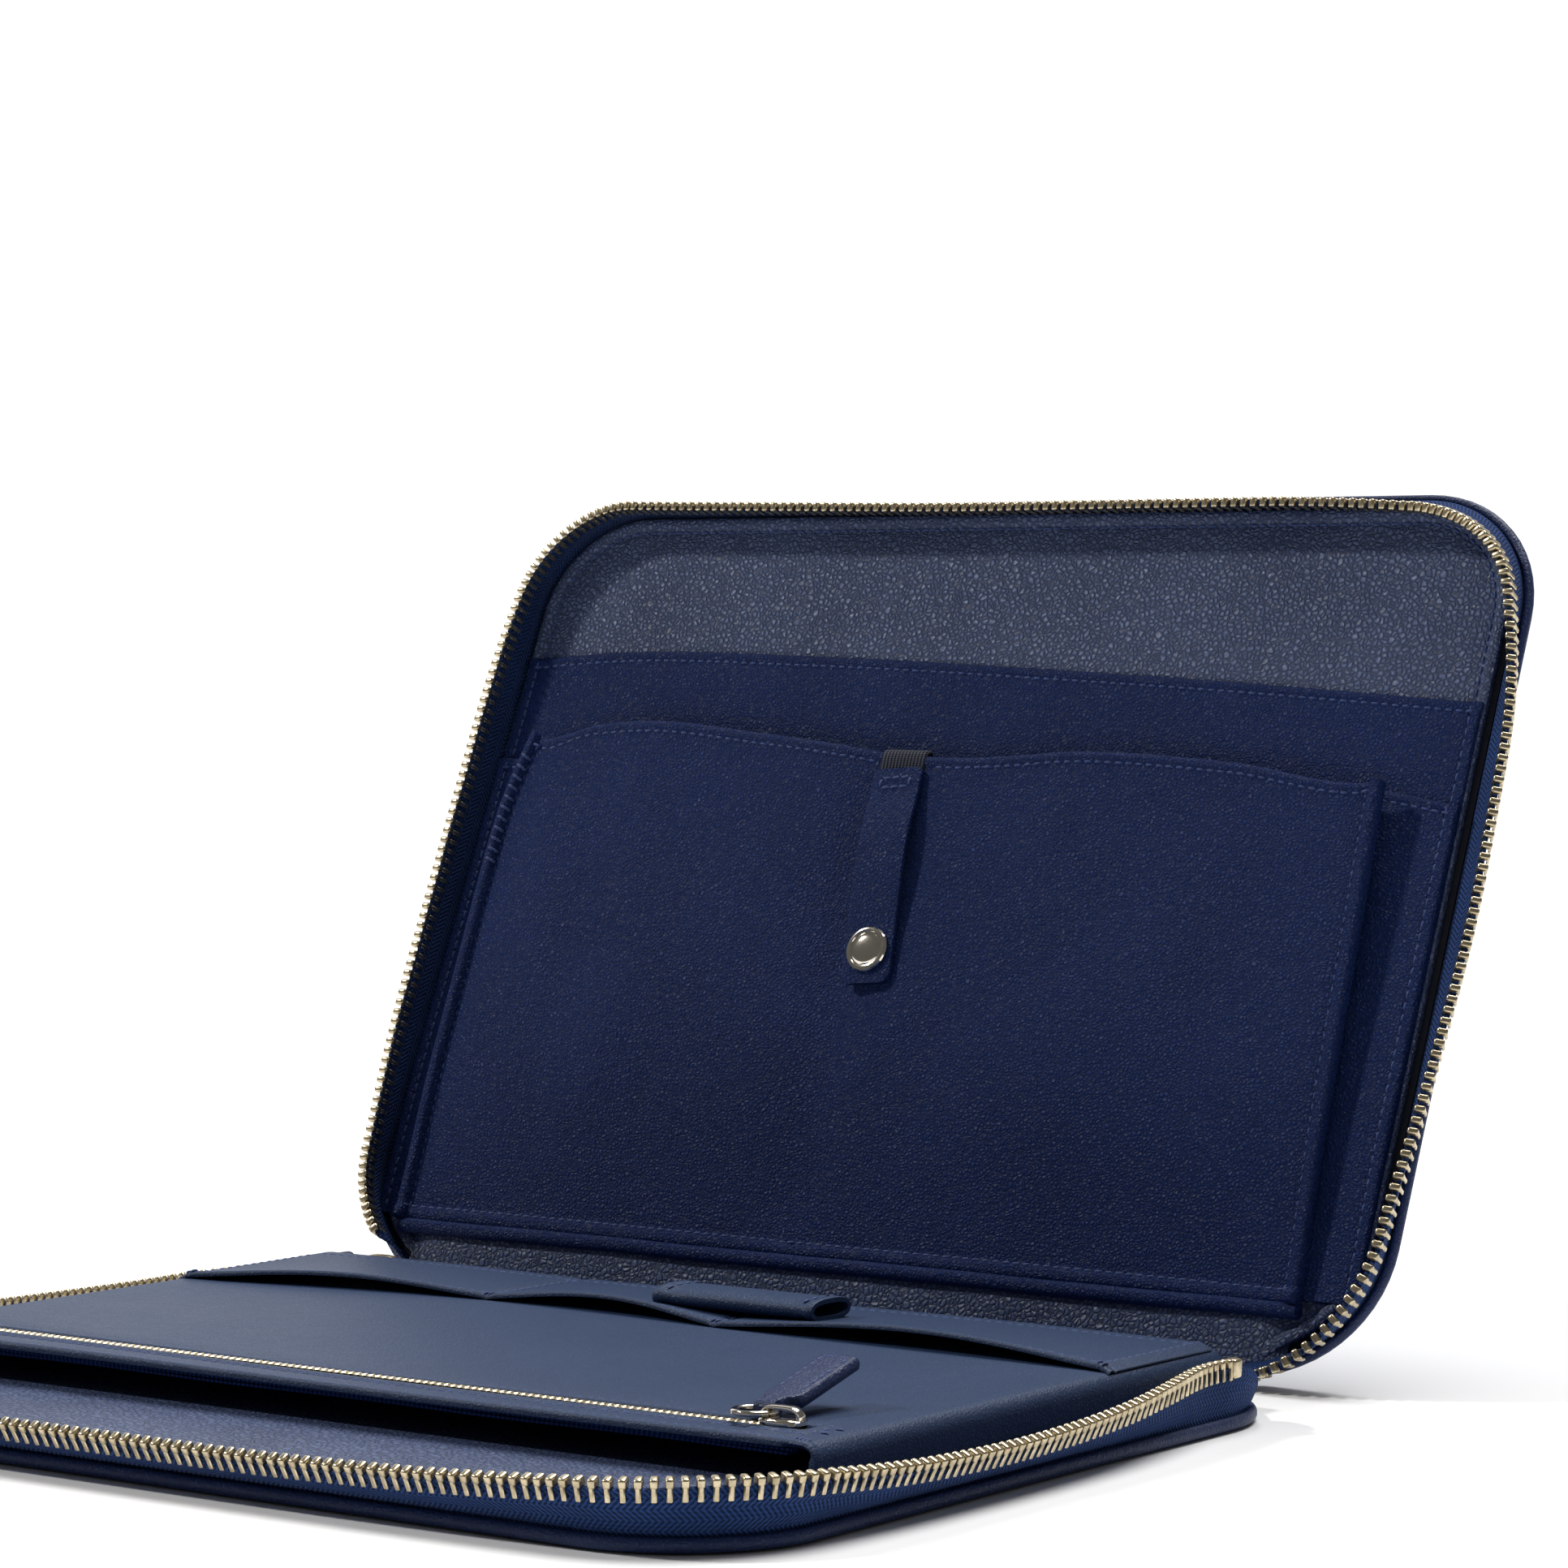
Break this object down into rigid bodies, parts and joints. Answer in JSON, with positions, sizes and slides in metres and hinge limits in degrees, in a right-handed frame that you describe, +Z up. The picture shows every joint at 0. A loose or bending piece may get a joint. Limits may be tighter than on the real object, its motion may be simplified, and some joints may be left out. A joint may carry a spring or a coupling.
{
  "type": "travel folio",
  "caption": "Zip-around leather travel folio, open, with a leaning pocketed lid, a soft spine, a raised tablet pocket, an inner zip pocket, a pen loop and a snap strap.",
  "frame": {"origin": "middle of the lower half's underside", "axes": "+X along the spine, +Y from the lower half's front edge towards the spine and lid, +Z up"},
  "size_m": [0.2978, 0.3133, 0.192],
  "materials": {
    "navy_leather": "smooth fine-grained navy leather, satin",
    "lining_leather": "pebble-grained dark navy leather, soft shine",
    "stiffener_board": "plain stiffener board, hidden inside the covers",
    "zip_fabric": "woven royal navy zip tape, herringbone",
    "zip_metal": "pale antique gold plating",
    "polished_nickel": "polished light gold nickel",
    "strap_webbing": "dark ribbed webbing"
  },
  "bodies": {
    "lower_half": {"lower_cover": "navy_leather", "lower_board": "stiffener_board", "lower_lining": "lining_leather", "lower_zip_tape": "zip_fabric", "lower_zip_teeth": "zip_metal", "lower_zip_end_stop": "zip_metal", "pocket_gusset_left": "navy_leather", "pocket_gusset_right": "navy_leather", "pocket_gusset_rear": "navy_leather", "pocket_panel": "navy_leather", "inner_zip_tape_front": "zip_fabric", "inner_zip_tape_rear": "zip_fabric", "inner_zip_stop_left": "zip_metal", "inner_zip_chain": "zip_metal", "inner_zip_stop_right": "zip_metal", "zip_pocket_backing": "zip_fabric", "slip_pocket_panel": "navy_leather", "pen_loop": "navy_leather", "main_zip_tail": "zip_fabric", "main_zip_slider": "zip_metal"},
    "spine": {"spine_outer": "navy_leather", "spine_lining": "lining_leather"},
    "lid": {"upper_cover": "navy_leather", "upper_board": "stiffener_board", "upper_lining": "lining_leather", "upper_zip_tape": "zip_fabric", "upper_zip_teeth": "zip_metal", "upper_zip_end_stop": "zip_metal", "rear_slip_pocket": "navy_leather", "middle_slip_pocket": "navy_leather", "front_pocket": "navy_leather", "front_gusset_left": "navy_leather", "front_gusset_right": "navy_leather", "front_pocket_piping": "navy_leather", "strap_webbing": "strap_webbing", "snap_stud": "polished_nickel"},
    "strap": {"cable_strap": "navy_leather", "snap_socket": "polished_nickel", "snap_cap": "polished_nickel"},
    "inner_slider": {"inner_zip_slider": "polished_nickel"},
    "inner_ring": {"inner_zip_ring": "polished_nickel"},
    "inner_pull": {"inner_zip_pull": "navy_leather"},
    "main_ring": {"main_zip_ring": "zip_metal"},
    "main_pull": {"main_zip_pull": "navy_leather"}
  },
  "joints": [
    {"name": "spine_fold", "type": "hinge", "parent": "lower_half", "child": "spine", "pos_m": [0, 0.102, 0.002], "axis": [1, 0, 0], "range_deg": [0, 90]},
    {"name": "lid_fold", "type": "hinge", "parent": "spine", "child": "lid", "pos_m": [0, 0.1265, 0.002], "axis": [1, 0, 0], "range_deg": [-66, 24]},
    {"name": "strap_swing", "type": "hinge", "parent": "lid", "child": "strap", "pos_m": [-0.008, 0.16901, 0.12574], "axis": [0.9962, 0.0327, 0.0808], "range_deg": [-150, 0]},
    {"name": "inner_zip_slide", "type": "slide", "parent": "lower_half", "child": "inner_slider", "axis": [1, 0, 0], "range_m": [-0.201, 0]},
    {"name": "inner_ring_swing", "type": "hinge", "parent": "inner_slider", "child": "inner_ring", "pos_m": [0.1018, -0.036, 0.0139], "axis": [0, -1, 0], "range_deg": [-90, 0]},
    {"name": "inner_pull_swing", "type": "hinge", "parent": "inner_ring", "child": "inner_pull", "pos_m": [0.0978, -0.032, 0.0139], "axis": [-1, 0, 0], "range_deg": [-75, 15]},
    {"name": "main_ring_swing", "type": "hinge", "parent": "lower_half", "child": "main_ring", "pos_m": [-0.1185, 0.113, 0.00835], "axis": [0, -1, 0], "range_deg": [-90, 0]},
    {"name": "main_pull_swing", "type": "hinge", "parent": "main_ring", "child": "main_pull", "pos_m": [-0.1273, 0.113, 0.00835], "axis": [0, -1, 0], "range_deg": [-90, 0]}
  ]
}
